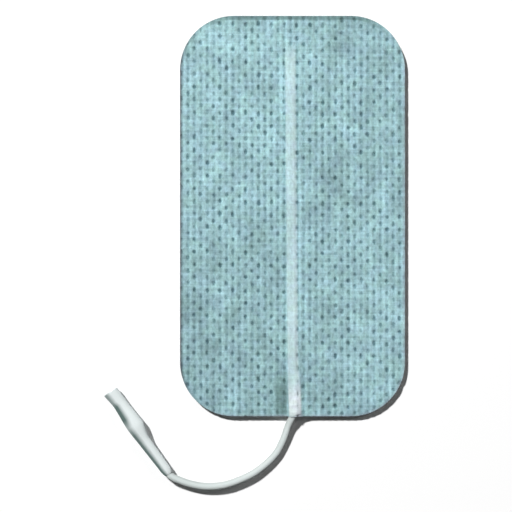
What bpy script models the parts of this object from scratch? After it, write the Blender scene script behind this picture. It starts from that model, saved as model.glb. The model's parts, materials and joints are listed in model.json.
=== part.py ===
"""Self-adhesive electrode pad for nerve stimulation, with its pigtail lead and 2 mm socket.

The pad lies on its gel face with its cloth face up. +Y is the long way of the pad, and the lead
leaves the middle of the -Y edge. The origin is the middle of the pad's footprint, at z = 0.
Everything is in metres.
"""

import math

import bmesh
import bpy
import numpy as np
from mathutils import Vector

# Outline of the pad, cut by one steel-rule die through all the layers.
PAD_WIDTH = 0.050
PAD_LENGTH = 0.089
CORNER_RADIUS = 0.012
CORNER_STEPS = 12

# Layers, from the skin up. The bond line is the film of adhesive between two layers.
GEL_THICKNESS = 0.0009
FILM_THICKNESS = 0.00015
CLOTH_THICKNESS = 0.00045
BOND_LINE = 0.00005

# Calendered pattern of the cloth: ribs along the pad, with staggered oval pits in the grooves.
# The rows of pits run slightly aslant, by the lean for each metre across.
RIB_PITCH = 0.001426
RIB_DEPTH = 0.00008
RIB_SHIFT = -0.00042
PIT_PITCH = 0.002822
PIT_DEPTH = 0.00025
PIT_SHIFT = -0.00128
PIT_ROW_LEAN = -0.018

# Lead: one insulated wire whose end is stripped, so that its strands lie bare on the film.
LEAD_DIAMETER = 0.0016
LEAD_HELD_LENGTH = 0.0075
STRAND_BUNDLE_DIAMETER = 0.0008
STRAND_COUNT = 6
STRAND_HOLLOW_RATIO = 0.78
STRAND_TWIST_PITCH = 0.009
STRAND_END_MARGIN = 0.0125
LEAD_POINT_SPACING = 0.0019

# Height of the free lead over the table between the pad and the connector, which both hold it.
LEAD_LIFT = 0.0007

# Ridge that the cloth makes over the lead. It leans slightly across the pad. Its flat top is a
# share of the radius of what it covers, and its slopes end a spread beyond that radius.
RIDGE_LEAN = 0.0085
RIDGE_SPREAD = 0.0008
RIDGE_FLAT_SHARE = 0.375
RIDGE_SIDE_LINES = 5
RIDGE_CLEARANCE = 0.00008
RIDGE_STEP_LENGTH = 0.003
RIDGE_STEP_LINES = 7
RIDGE_FADE_LENGTH = 0.0055
RIDGE_FADE_LINES = 9
EXIT_X = 0.0

# Moulded connector: a sleeve round the socket, a waist, a grip, a shoulder and a tail. Its outer
# side faces away from the pad and its inner side towards it, and the two differ slightly.
CONNECTOR_LENGTH = 0.0224
SLEEVE_WALL = 0.0005
OUTER_WAIST_FROM_MOUTH = 0.0033
OUTER_WAIST_NARROWING = 0.00033
INNER_WAIST_FROM_MOUTH = 0.0044
INNER_WAIST_WIDENING = 0.00008
OUTER_GRIP_FROM_MOUTH = 0.0091
OUTER_GRIP_WIDTH = 0.0018
INNER_GRIP_FROM_MOUTH = 0.0099
INNER_GRIP_WIDTH = 0.0021
OUTER_SHOULDER_FROM_MOUTH = 0.0140
OUTER_SHOULDER_WIDTH = 0.00155
INNER_SHOULDER_FROM_MOUTH = 0.0139
INNER_SHOULDER_WIDTH = 0.00123
FORM_SHARPNESS = 0.55
TAIL_WALL = 0.00035
TAIL_ROUNDING = 0.0003
MOUTH_ROUNDING = 0.0001
CONNECTOR_HEADING = math.radians(125.3)
CONNECTOR_SIDES = 20
CONNECTOR_RINGS = 26

# Rolled metal socket for a 2 mm lead pin, pressed into the connector's mouth.
PIN_DIAMETER = 0.0020
SOCKET_WALL = 0.00015
SOCKET_LENGTH = 0.0095
SOCKET_SETBACK = 0.0006
SOCKET_SLIT = 0.0003
SOCKET_SEAT_CLEARANCE = 0.00005

# Gap between faces that touch, and between what lies on the table and the table.
TOUCH_GAP = 0.0003
TABLE_GAP = 0.00002

# Heights of the layers' faces.
FILM_BOTTOM = GEL_THICKNESS + BOND_LINE
FILM_TOP = FILM_BOTTOM + FILM_THICKNESS
CLOTH_BOTTOM = FILM_TOP + BOND_LINE
CLOTH_TOP = CLOTH_BOTTOM + CLOTH_THICKNESS

# Lines that the lead and the ridge follow.
LEAD_RADIUS = LEAD_DIAMETER / 2
EXIT_Y = -PAD_LENGTH / 2
LEAD_INNER_Y = EXIT_Y + LEAD_HELD_LENGTH
STRAND_START_Y = LEAD_INNER_Y + TOUCH_GAP
STRAND_END_Y = PAD_LENGTH / 2 - STRAND_END_MARGIN
HELD_LEAD_Z = CLOTH_BOTTOM + LEAD_RADIUS
STRAND_Z = CLOTH_BOTTOM + STRAND_BUNDLE_DIAMETER / 2
FREE_LEAD_Z = LEAD_RADIUS + LEAD_LIFT
CONNECTOR_Z = (OUTER_GRIP_WIDTH + INNER_GRIP_WIDTH) / 2 + TABLE_GAP

# Radii of the connector's bore and wall that follow from the pin.
SOCKET_BORE_RADIUS = PIN_DIAMETER / 2
SOCKET_OUTER_RADIUS = SOCKET_BORE_RADIUS + SOCKET_WALL
SEAT_RADIUS = SOCKET_OUTER_RADIUS + SOCKET_SEAT_CLEARANCE
SEAT_DEPTH = SOCKET_SETBACK + SOCKET_LENGTH + TOUCH_GAP
SLEEVE_RADIUS = SEAT_RADIUS + SLEEVE_WALL
TAIL_RADIUS = LEAD_RADIUS + TAIL_WALL

# Route of the free lead, from where it leaves the pad. Each point is its place across and along
# the pad from the exit, then how much it still keeps of its height at the pad's edge, then how
# much it has of the rise to the connector. The last point is the end in the connector's tail.
LEAD_ROUTE = (
    (0.0000, 0.0000, 1.00, 0.00),
    (-0.0009, -0.0021, 0.95, 0.00),
    (-0.0021, -0.0053, 0.70, 0.00),
    (-0.0041, -0.0085, 0.35, 0.00),
    (-0.0082, -0.0122, 0.00, 0.00),
    (-0.0115, -0.0141, 0.00, 0.00),
    (-0.0152, -0.0153, 0.00, 0.00),
    (-0.0193, -0.0156, 0.00, 0.10),
    (-0.0227, -0.0150, 0.00, 0.40),
    (-0.0255, -0.0140, 0.00, 0.80),
    (-0.0266, -0.0135, 0.00, 0.95),
    (-0.0273, -0.0130, 0.00, 1.00),
)


def clear_scene():
    """Remove whatever the file starts with."""
    for obj in list(bpy.data.objects):
        bpy.data.objects.remove(obj, do_unlink=True)


def make_material(name, colour, roughness, metallic=0.0, alpha=1.0):
    """A Principled material with one colour and finish."""
    material = bpy.data.materials.new(name)
    material.use_nodes = True
    material.diffuse_color = (*colour, alpha)
    shader = material.node_tree.nodes["Principled BSDF"]
    shader.inputs["Base Color"].default_value = (*colour, 1.0)
    shader.inputs["Roughness"].default_value = roughness
    shader.inputs["Metallic"].default_value = metallic
    shader.inputs["Alpha"].default_value = alpha
    return material


def add_object(name, data, material, parent):
    """Put a mesh or a curve into the scene as one named piece."""
    obj = bpy.data.objects.new(name, data)
    data.materials.append(material)
    bpy.context.scene.collection.objects.link(obj)
    obj.parent = parent
    return obj


def mesh_from_bmesh(name, bm, smooth_under=None):
    """Turn a bmesh into a mesh with its faces outward, shaded smooth under the given angle."""
    bmesh.ops.recalc_face_normals(bm, faces=bm.faces)
    mesh = bpy.data.meshes.new(name)
    bm.to_mesh(mesh)
    bm.free()
    if smooth_under is not None:
        mesh.shade_smooth()
        mesh.set_sharp_from_angle(angle=smooth_under)
    return mesh


def rounded_outline():
    """Corner points of the die's outline: a rectangle with round corners, counter-clockwise."""
    points = []
    for quarter, (side_x, side_y) in enumerate(((1, 1), (-1, 1), (-1, -1), (1, -1))):
        centre_x = side_x * (PAD_WIDTH / 2 - CORNER_RADIUS)
        centre_y = side_y * (PAD_LENGTH / 2 - CORNER_RADIUS)
        for step in range(CORNER_STEPS + 1):
            angle = math.pi / 2 * (quarter + step / CORNER_STEPS)
            x = centre_x + CORNER_RADIUS * math.cos(angle)
            y = centre_y + CORNER_RADIUS * math.sin(angle)
            points.append((x, y))
    return points


def die_cut_prism(name, bottom, top):
    """The die's outline extruded from one height to another."""
    bm = bmesh.new()
    outline = [bm.verts.new((x, y, bottom)) for x, y in rounded_outline()]
    face = bm.faces.new(outline)
    extruded = bmesh.ops.extrude_face_region(bm, geom=[face])
    raised = [item for item in extruded["geom"] if isinstance(item, bmesh.types.BMVert)]
    bmesh.ops.translate(bm, verts=raised, vec=(0, 0, top - bottom))
    return mesh_from_bmesh(name, bm, smooth_under=math.radians(30))


def eased(share):
    """A step from 0 to 1 that starts and ends level, as half a wave of a cosine."""
    return 0.5 - 0.5 * np.cos(math.pi * np.clip(share, 0.0, 1.0))


def ridge_centre_x(y):
    """Where the lead's line crosses a given place along the pad."""
    return EXIT_X - RIDGE_LEAN * (y - EXIT_Y)


def ridge_diameter(y):
    """What the cloth goes over at a place along the pad: the insulated lead, the bare strands
    past its end, and nothing past the strands' end."""
    past_lead = eased((y - LEAD_INNER_Y) / RIDGE_STEP_LENGTH)
    past_strands = eased((y - STRAND_END_Y) / RIDGE_FADE_LENGTH)
    over_lead = LEAD_DIAMETER + (STRAND_BUNDLE_DIAMETER - LEAD_DIAMETER) * past_lead
    return over_lead * (1 - past_strands)


def ridge_share(x, y):
    """Shape of the ridge across: 1 on its flat top, then a wave of a cosine down to 0 at its
    foot."""
    radius = ridge_diameter(y) / 2
    flat = RIDGE_FLAT_SHARE * radius
    slope_width = RIDGE_SPREAD + radius - flat
    offset = np.clip((np.abs(x - ridge_centre_x(y)) - flat) / slope_width, 0.0, 1.0)
    return 0.5 + 0.5 * np.cos(math.pi * offset)


def ridge_rise(x, y):
    """How far the cloth is lifted off the film."""
    diameter = ridge_diameter(y)
    lift = diameter + RIDGE_CLEARANCE * np.clip(diameter / STRAND_BUNDLE_DIAMETER, 0.0, 1.0)
    return lift * ridge_share(x, y)


def lines_between(low, high, spacing, shift):
    """Evenly spaced lines with one at the shift, from just outside low to just outside high.

    Gives the lines' places and their whole-number counts from the shift.
    """
    first = math.floor((low - shift) / spacing) - 1
    last = math.ceil((high - shift) / spacing) + 1
    counts = np.arange(first, last + 1)
    return shift + counts * spacing, counts


def cloth_columns():
    """Lines along the pad: a crest and a groove for each rib, and closer lines that run along
    the ridge in its own direction.

    Gives each line's place, its whole-number count of half pitches, where a groove is even, and
    whether it runs along the ridge, in which case its place is from the ridge's middle.
    """
    places, counts = lines_between(-PAD_WIDTH / 2, PAD_WIDTH / 2, RIB_PITCH / 2, RIB_SHIFT)
    foot = RIDGE_SPREAD + LEAD_DIAMETER / 2
    ends = (ridge_centre_x(EXIT_Y), ridge_centre_x(PAD_LENGTH / 2))
    left = places < min(ends) - foot - RIB_PITCH / 8
    right = places > max(ends) + foot + RIB_PITCH / 8
    ridge = np.linspace(-foot, foot, 2 * RIDGE_SIDE_LINES + 1)
    none = np.zeros(len(ridge), dtype=int)
    return (
        np.concatenate((places[left], ridge, places[right])),
        np.concatenate((counts[left], none, counts[right])),
        np.concatenate((0 * counts[left], none + 1, 0 * counts[right])),
    )


def cloth_grid(columns, rows):
    """Places across and along the pad where the columns cross the rows, which run aslant."""
    places, _, on_ridge = columns
    x = places[:, None] + on_ridge[:, None] * ridge_centre_x(rows)[None, :]
    return x, rows[None, :] + PIT_ROW_LEAN * x


def cloth_upper_face(columns, rows, row_counts):
    """Height of the cloth's face: crests, grooves between them, and a pit at every second place
    of each groove, staggered from groove to groove. The ridge is stretched smooth."""
    x, y = cloth_grid(columns, rows)
    _, column_counts, on_ridge = columns
    across, along = np.meshgrid(column_counts, row_counts, indexing="ij")
    in_groove = across % 2 == 0
    in_pit = in_groove & ((across // 2 + along) % 2 == 0)
    relief = np.where(in_groove, RIB_DEPTH, 0.0)
    relief = np.where(in_pit, PIT_DEPTH, relief)
    relief = np.where(on_ridge[:, None] == 1, 0.0, relief)
    return CLOTH_TOP + ridge_rise(x, y) - relief


def cloth_lower_rows(low, high):
    """Lines across the pad on the cloth's lower face: close where the tunnel changes."""
    step = np.linspace(LEAD_INNER_Y, LEAD_INNER_Y + RIDGE_STEP_LENGTH, RIDGE_STEP_LINES)
    fade = np.linspace(STRAND_END_Y, STRAND_END_Y + RIDGE_FADE_LENGTH, RIDGE_FADE_LINES)
    return np.concatenate(([low], step, fade, [high]))


def cover_cloth(material, parent):
    """The cloth: one sheet with its pattern on top and a tunnel over the lead underneath,
    made larger than the pad and then cut by the die."""
    columns = cloth_columns()
    rows, row_counts = lines_between(-PAD_LENGTH / 2, PAD_LENGTH / 2, PIT_PITCH / 2, PIT_SHIFT)
    top_x, top_y = cloth_grid(columns, rows)
    top_z = cloth_upper_face(columns, rows, row_counts)

    # The lower face needs lines only along the ridge, and at the sheet's two long edges.
    needed = columns[2] == 1
    needed[[0, -1]] = True
    lower_columns = [values[needed] for values in columns]
    low_x, low_y = cloth_grid(lower_columns, cloth_lower_rows(rows[0], rows[-1]))
    low_z = CLOTH_BOTTOM + ridge_rise(low_x, low_y)

    bm = bmesh.new()
    top = [[bm.verts.new(place) for place in zip(*line)] for line in zip(top_x, top_y, top_z)]
    low = [[bm.verts.new(place) for place in zip(*line)] for line in zip(low_x, low_y, low_z)]
    for i in range(len(top) - 1):
        for j in range(len(top[0]) - 1):
            bm.faces.new((top[i][j], top[i + 1][j], top[i + 1][j + 1], top[i][j + 1]))
    for i in range(len(low) - 1):
        for j in range(len(low[0]) - 1):
            bm.faces.new((low[i][j], low[i][j + 1], low[i + 1][j + 1], low[i + 1][j]))
    bm.faces.new(top[0] + low[0][::-1])
    bm.faces.new(top[-1][::-1] + low[-1])
    bm.faces.new([line[0] for line in low] + [line[0] for line in top][::-1])
    bm.faces.new([line[-1] for line in low][::-1] + [line[-1] for line in top])

    mesh = mesh_from_bmesh("cover_cloth", bm, math.radians(60))
    cloth = add_object("cover_cloth", mesh, material, parent)
    ridge_top = CLOTH_TOP + max(LEAD_DIAMETER, STRAND_BUNDLE_DIAMETER) + RIDGE_CLEARANCE
    prism = die_cut_prism("cloth_die", CLOTH_BOTTOM - CLOTH_THICKNESS, ridge_top + CLOTH_THICKNESS)
    die = add_object("cloth_die", prism, material, parent)
    die.hide_render = True
    die.display_type = "WIRE"
    cut = cloth.modifiers.new("die cut", "BOOLEAN")
    cut.operation = "INTERSECT"
    cut.object = die
    return cloth


def bare_conductor(material, parent):
    """The stripped end of the lead: strands twisted into one bundle, lying on the film.

    The section is a ring of round lobes, one for each outer strand, turned evenly along it.
    """
    length = STRAND_END_Y - STRAND_START_Y
    turn_per_metre = 2 * math.pi / STRAND_TWIST_PITCH
    rings = math.ceil(length * STRAND_COUNT / STRAND_TWIST_PITCH) + 1
    outer = STRAND_BUNDLE_DIAMETER / 2
    hollow = outer * STRAND_HOLLOW_RATIO
    bm = bmesh.new()
    loops = []
    for ring in range(rings):
        along = length * ring / (rings - 1)
        y = STRAND_START_Y + along
        loop = []
        for side in range(2 * STRAND_COUNT):
            angle = math.pi * side / STRAND_COUNT + along * turn_per_metre
            radius = outer if side % 2 == 0 else hollow
            x = ridge_centre_x(y) + radius * math.cos(angle)
            loop.append(bm.verts.new((x, y, STRAND_Z + radius * math.sin(angle))))
        loops.append(loop)
    loft(bm, loops)
    mesh = mesh_from_bmesh("bare_conductor", bm, math.radians(60))
    return add_object("bare_conductor", mesh, material, parent)


def loft(bm, rings):
    """Faces from each ring to the next, and a cap on the first and on the last."""
    for first, second in zip(rings, rings[1:]):
        for side in range(len(first)):
            following = (side + 1) % len(first)
            bm.faces.new((first[side], first[following], second[following], second[side]))
    bm.faces.new(rings[0])
    bm.faces.new(rings[-1])


def heading_vector():
    """Direction out of the connector's mouth."""
    return Vector((math.cos(CONNECTOR_HEADING), math.sin(CONNECTOR_HEADING), 0.0))


def route_points():
    """The lead's own points: its end under the cloth, the ridge's line, then the free route."""
    held_places = (LEAD_INNER_Y, (LEAD_INNER_Y + EXIT_Y) / 2)
    inner = [(ridge_centre_x(y), y, HELD_LEAD_Z) for y in held_places]
    free = [
        (
            EXIT_X + x,
            EXIT_Y + y,
            FREE_LEAD_Z
            + (HELD_LEAD_Z - FREE_LEAD_Z) * pad_share
            + (CONNECTOR_Z - FREE_LEAD_Z) * connector_share,
        )
        for x, y, pad_share, connector_share in LEAD_ROUTE
    ]
    return [Vector(point) for point in inner + free]


def smooth_curve(points, last_direction, per_span=24):
    """Dense points of a centripetal Catmull-Rom curve through the given ones, which leaves the
    last one in the given direction. Each point comes from three levels of blends between its
    neighbours, by the square roots of their distances."""
    reach = (points[-1] - points[-2]).length
    controls = [2 * points[0] - points[1], *points, points[-1] + last_direction * reach]
    dense = []
    for p0, p1, p2, p3 in zip(controls, controls[1:], controls[2:], controls[3:]):
        t1 = math.sqrt((p1 - p0).length)
        t2 = t1 + math.sqrt((p2 - p1).length)
        t3 = t2 + math.sqrt((p3 - p2).length)
        for step in range(per_span):
            t = t1 + (t2 - t1) * step / per_span
            a1 = p0.lerp(p1, t / t1)
            a2 = p1.lerp(p2, (t - t1) / (t2 - t1))
            a3 = p2.lerp(p3, (t - t2) / (t3 - t2))
            b1 = a1.lerp(a2, t / t2)
            b2 = a2.lerp(a3, (t - t1) / (t3 - t1))
            dense.append(b1.lerp(b2, (t - t1) / (t2 - t1)))
    dense.append(points[-1])
    return dense


def evenly_spaced(dense, spacing):
    """Points a fixed distance apart, measured along a dense curve, with both of its ends."""
    lengths = [0.0]
    for first, second in zip(dense, dense[1:]):
        lengths.append(lengths[-1] + (second - first).length)
    count = max(2, round(lengths[-1] / spacing) + 1)
    wanted = np.linspace(0.0, lengths[-1], count)
    coordinates = np.array([tuple(point) for point in dense])
    columns = [np.interp(wanted, lengths, coordinates[:, axis]) for axis in range(3)]
    return [Vector(place) for place in zip(*columns)]


def lead_wire(material, parent):
    """The insulated lead: a tube along the smooth route, with a gap to the connector's tail."""
    route = route_points()
    centre_line = evenly_spaced(smooth_curve(route, heading_vector()), LEAD_POINT_SPACING)
    curve = bpy.data.curves.new("lead_wire", "CURVE")
    curve.dimensions = "3D"
    curve.bevel_depth = LEAD_RADIUS
    curve.bevel_resolution = 2
    curve.use_fill_caps = True
    spline = curve.splines.new("POLY")
    spline.points.add(len(centre_line) - 1)
    for spline_point, place in zip(spline.points, centre_line):
        spline_point.co = (*place, 1.0)
    return add_object("lead_wire", curve, material, parent)


def connector_side(stations):
    """One side of the connector's form as two lists, from the tail to the mouth: distances from
    the tail and half-widths."""
    whole = [(0.0, SLEEVE_RADIUS), *stations, (CONNECTOR_LENGTH, TAIL_RADIUS)]
    from_tail = [(CONNECTOR_LENGTH - place, width) for place, width in reversed(whole)]
    return zip(*from_tail)


def outer_side():
    """The side away from the pad."""
    return connector_side(
        (
            (OUTER_WAIST_FROM_MOUTH, SLEEVE_RADIUS - OUTER_WAIST_NARROWING),
            (OUTER_GRIP_FROM_MOUTH, OUTER_GRIP_WIDTH),
            (OUTER_SHOULDER_FROM_MOUTH, OUTER_SHOULDER_WIDTH),
        )
    )


def inner_side():
    """The side towards the pad."""
    return connector_side(
        (
            (INNER_WAIST_FROM_MOUTH, SLEEVE_RADIUS + INNER_WAIST_WIDENING),
            (INNER_GRIP_FROM_MOUTH, INNER_GRIP_WIDTH),
            (INNER_SHOULDER_FROM_MOUTH, INNER_SHOULDER_WIDTH),
        )
    )


def through_stations(at, places, values):
    """Values between stations, as a blend of straight lines and of a smooth curve.

    The smooth curve is a cubic from each station to the next whose slope at a station is that of
    the line between its neighbours, and nothing where the values turn back.
    """
    places = np.asarray(places)
    values = np.asarray(values)
    rises = np.diff(values) / np.diff(places)
    slopes = np.zeros(len(values))
    turning = rises[:-1] * rises[1:] <= 0
    slopes[1:-1] = np.where(turning, 0.0, (values[2:] - values[:-2]) / (places[2:] - places[:-2]))
    span = np.clip(np.searchsorted(places, at, side="right") - 1, 0, len(places) - 2)
    width = places[span + 1] - places[span]
    t = (at - places[span]) / width
    start = values[span] * (1 + 2 * t) + slopes[span] * width * t
    end = values[span + 1] * (3 - 2 * t) - slopes[span + 1] * width * (1 - t)
    smooth = start * (1 - t) ** 2 + end * t**2
    return smooth + FORM_SHARPNESS * (np.interp(at, places, values) - smooth)


def oval_ring(bm, y, outer, inner):
    """A ring of points round the Y axis with its own half-width on the outer side, which is -X,
    and on the inner side. Its half-height is their mean."""
    ring = []
    for side in range(CONNECTOR_SIDES):
        angle = 2 * math.pi * side / CONNECTOR_SIDES
        across = math.cos(angle)
        reach = inner if across > 0 else outer
        height = math.sin(angle) * (outer + inner) / 2
        ring.append(bm.verts.new((across * reach, y, height)))
    return ring


def connector_body(material, parent, tail):
    """The moulded connector: rings lofted from the tail to the mouth, then down into the seat."""
    ring_places = np.linspace(TAIL_ROUNDING, CONNECTOR_LENGTH - MOUTH_ROUNDING, CONNECTOR_RINGS)
    outer_widths = through_stations(ring_places, *outer_side())
    inner_widths = through_stations(ring_places, *inner_side())
    tail_face = TAIL_RADIUS - TAIL_ROUNDING / 2
    mouth_face = SLEEVE_RADIUS - MOUTH_ROUNDING
    bm = bmesh.new()
    rings = [oval_ring(bm, 0.0, tail_face, tail_face)]
    for place, outer, inner in zip(ring_places, outer_widths, inner_widths):
        rings.append(oval_ring(bm, place, outer, inner))
    rings.append(oval_ring(bm, CONNECTOR_LENGTH, mouth_face, mouth_face))
    rings.append(oval_ring(bm, CONNECTOR_LENGTH, SEAT_RADIUS, SEAT_RADIUS))
    rings.append(oval_ring(bm, CONNECTOR_LENGTH - SEAT_DEPTH, SEAT_RADIUS, SEAT_RADIUS))
    loft(bm, rings)
    mesh = mesh_from_bmesh("connector_body", bm, math.radians(40))
    body = add_object("connector_body", mesh, material, parent)
    body.location = tail
    body.rotation_euler = (0.0, 0.0, CONNECTOR_HEADING - math.pi / 2)
    return body


def socket_contact(material, connector):
    """The rolled socket: a tube with one slit along it, seated behind the connector's mouth."""
    half_slit = math.asin(SOCKET_SLIT / 2 / SOCKET_BORE_RADIUS)
    start = math.pi / 2 + half_slit
    sweep = 2 * math.pi - 2 * half_slit
    bm = bmesh.new()
    section = []
    for radius, order in ((SOCKET_OUTER_RADIUS, 1), (SOCKET_BORE_RADIUS, -1)):
        for step in range(CONNECTOR_SIDES + 1)[::order]:
            angle = start + sweep * step / CONNECTOR_SIDES
            section.append(bm.verts.new((radius * math.cos(angle), 0.0, radius * math.sin(angle))))
    face = bm.faces.new(section)
    extruded = bmesh.ops.extrude_face_region(bm, geom=[face])
    moved = [item for item in extruded["geom"] if isinstance(item, bmesh.types.BMVert)]
    bmesh.ops.translate(bm, verts=moved, vec=(0, SOCKET_LENGTH, 0))
    mesh = mesh_from_bmesh("socket_contact", bm, math.radians(40))
    contact = add_object("socket_contact", mesh, material, connector)
    contact.location = (0.0, CONNECTOR_LENGTH - SOCKET_SETBACK - SOCKET_LENGTH, 0.0)
    return contact


def main():
    """Build every piece of the electrode."""
    clear_scene()
    pad = bpy.data.objects.new("electrode_pad", None)
    bpy.context.scene.collection.objects.link(pad)

    cloth_finish = make_material("pale_blue_green_cloth", (0.31, 0.50, 0.53), 0.85)
    film_finish = make_material("carbon_film", (0.03, 0.03, 0.035), 0.55)
    gel_finish = make_material("clear_hydrogel", (0.75, 0.80, 0.78), 0.25, alpha=0.75)
    strand_finish = make_material("tinned_strands", (0.72, 0.71, 0.69), 0.35, metallic=1.0)
    lead_finish = make_material("white_insulation", (0.80, 0.85, 0.83), 0.40)
    connector_finish = make_material("white_moulding", (0.82, 0.86, 0.85), 0.45)
    socket_finish = make_material("plated_socket", (0.70, 0.69, 0.66), 0.30, metallic=1.0)

    gel = die_cut_prism("hydrogel_layer", 0.0, GEL_THICKNESS)
    add_object("hydrogel_layer", gel, gel_finish, pad)
    film = die_cut_prism("carbon_film", FILM_BOTTOM, FILM_TOP)
    add_object("carbon_film", film, film_finish, pad)
    cover_cloth(cloth_finish, pad)
    bare_conductor(strand_finish, pad)
    lead_wire(lead_finish, pad)
    tail = route_points()[-1] + heading_vector() * TOUCH_GAP
    connector = connector_body(connector_finish, pad, tail)
    socket_contact(socket_finish, connector)


main()
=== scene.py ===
"""Looks of the electrode pad: embossed cloth over carbon film and gel, with its lead and socket.

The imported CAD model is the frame. The cloth, the gel, the lead and the moulded connector are
replaced by finer shapes in the same places, and the film, the strands and the metal socket keep
their CAD solids and get a finish. Everything is in metres, in the frame's own axes: +Z up through
the layers, +Y the long way of the pad, away from the edge that the lead leaves.
"""

import json
import logging
import math
from collections.abc import Sequence
from dataclasses import dataclass
from enum import Enum

import bmesh
import bpy
import numpy as np
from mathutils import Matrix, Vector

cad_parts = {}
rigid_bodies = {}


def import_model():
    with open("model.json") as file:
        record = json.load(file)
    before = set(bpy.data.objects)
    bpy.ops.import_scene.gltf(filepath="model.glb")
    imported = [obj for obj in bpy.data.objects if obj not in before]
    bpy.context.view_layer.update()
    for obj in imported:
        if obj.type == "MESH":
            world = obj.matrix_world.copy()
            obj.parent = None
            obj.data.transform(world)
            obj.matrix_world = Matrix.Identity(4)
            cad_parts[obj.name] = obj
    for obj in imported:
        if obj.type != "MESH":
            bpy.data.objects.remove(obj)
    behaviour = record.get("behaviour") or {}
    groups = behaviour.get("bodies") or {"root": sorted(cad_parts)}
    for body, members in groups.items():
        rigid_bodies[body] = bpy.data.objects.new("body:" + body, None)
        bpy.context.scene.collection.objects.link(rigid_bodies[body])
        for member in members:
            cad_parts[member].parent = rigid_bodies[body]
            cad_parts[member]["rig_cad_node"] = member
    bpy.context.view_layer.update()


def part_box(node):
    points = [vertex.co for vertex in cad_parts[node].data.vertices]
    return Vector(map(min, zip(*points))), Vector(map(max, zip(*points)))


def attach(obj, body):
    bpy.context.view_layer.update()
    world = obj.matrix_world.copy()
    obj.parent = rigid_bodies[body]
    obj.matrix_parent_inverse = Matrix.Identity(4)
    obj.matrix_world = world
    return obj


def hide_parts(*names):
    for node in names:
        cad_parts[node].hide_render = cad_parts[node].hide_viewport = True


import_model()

log = logging.getLogger("electrode_pad")

Colour = tuple[float, float, float]
Stations = tuple[tuple[float, ...], ...]

# Gap that the CAD leaves between the lead's end and the connector's tail.
TOUCH_GAP = 0.0003

# Route of the free lead: across and along from where it leaves the pad, its share of the extra
# height at the pad's edge, which is below nothing where it sags, and its share of the rise to the
# connector.
LEAD_ROUTE = (
    (0.0000, 0.0000, 1.00, 0.00),
    (-0.0009, -0.0021, -0.35, 0.00),
    (-0.0020, -0.0053, -1.10, 0.00),
    (-0.0039, -0.0087, -1.15, 0.00),
    (-0.0081, -0.0124, -0.65, 0.00),
    (-0.0115, -0.0141, -0.20, 0.00),
    (-0.0152, -0.0153, 0.00, 0.00),
    (-0.0193, -0.0156, 0.00, 0.10),
    (-0.0227, -0.0150, 0.00, 0.40),
    (-0.0255, -0.0140, 0.00, 0.80),
    (-0.0266, -0.0135, 0.00, 0.95),
    (-0.0273, -0.0130, 0.00, 1.00),
)

# Broad patches where the cloth is darker or paler: across, along, half-width and half-length, and
# how much the shade changes.
BROAD_PATCHES = (
    (0.0180, 0.0360, 0.0090, 0.0120, -0.13),
    (0.0090, 0.0080, 0.0040, 0.0150, -0.15),
    (0.0200, -0.0270, 0.0080, 0.0110, 0.17),
    (-0.0040, 0.0200, 0.0060, 0.0110, 0.06),
    (-0.0240, -0.0300, 0.0050, 0.0140, -0.09),
    (0.0000, 0.0450, 0.0300, 0.0045, -0.12),
)

# Change of shade that the cloth's attribute for the patches spans as it goes from 0 to 1.
BROAD_SPAN = 0.6


class NoiseLook(Enum):
    """What a noise pattern is for, with its number of octaves."""

    CLOUDS = 2.0
    FIBRES = 5.0
    GRAIN = 3.0


def eased(share: np.ndarray) -> np.ndarray:
    """A step from 0 to 1 that starts and ends level, as half a wave of a cosine."""
    return 0.5 - 0.5 * np.cos(math.pi * np.clip(share, 0.0, 1.0))


def towards_exit(y: np.ndarray, start: float, reach: float) -> np.ndarray:
    """A step from 0 to 1 along the pad that starts at a place and goes towards the lead's exit."""
    return eased((start - y) / reach)


def on_pitch(reach: float, shift: float, step: float) -> np.ndarray:
    """Places a step apart, counted from a shift, within a reach to either side of 0.

    Args:
        reach: Largest distance from 0.
        shift: One of the places, or where one would be.
        step: Distance between two places.

    Returns:
        The places, rising.
    """
    first = math.ceil((-reach - shift) / step)
    last = math.floor((reach - shift) / step)
    return shift + step * np.arange(first, last + 1)


def grid_quads(rows: int, columns: int, closed: bool = False) -> np.ndarray:
    """Quads between the points of a grid that is numbered row by row.

    Args:
        rows: Number of rows of points.
        columns: Number of points in a row.
        closed: Whether each row is a ring, whose last point joins its first.

    Returns:
        An array of four point numbers for each quad.
    """
    row = np.arange(rows - 1)[:, None]
    column = np.arange(columns if closed else columns - 1)[None, :]
    following = (column + 1) % columns
    corners = (
        row * columns + column,
        row * columns + following,
        (row + 1) * columns + following,
        (row + 1) * columns + column,
    )
    return np.stack(corners, axis=-1).reshape(-1, 4)


def shell_mesh(
    name: str, points: np.ndarray, faces: Sequence, smooth_under: float
) -> bpy.types.Mesh:
    """A closed mesh with its faces outward, shaded smooth under an angle.

    Args:
        name: Name of the mesh.
        points: Places of the points, one row each.
        faces: Lists of point numbers.
        smooth_under: Angle in radians under which an edge is shaded smooth.

    Returns:
        The mesh.
    """
    mesh = bpy.data.meshes.new(name)
    mesh.from_pydata(points.tolist(), [], faces)
    bm = bmesh.new()
    bm.from_mesh(mesh)
    bmesh.ops.recalc_face_normals(bm, faces=bm.faces)
    bm.to_mesh(mesh)
    bm.free()
    mesh.shade_smooth()
    mesh.set_sharp_from_angle(angle=smooth_under)
    return mesh


def point_attribute(mesh: bpy.types.Mesh, name: str, values: np.ndarray) -> None:
    """Give each point of a mesh a number that a material can read.

    Args:
        mesh: The mesh.
        name: Name of the attribute.
        values: One number for each point.
    """
    attribute = mesh.attributes.new(name, "FLOAT", "POINT")
    attribute.data.foreach_set("value", values.astype(np.float32))


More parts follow.
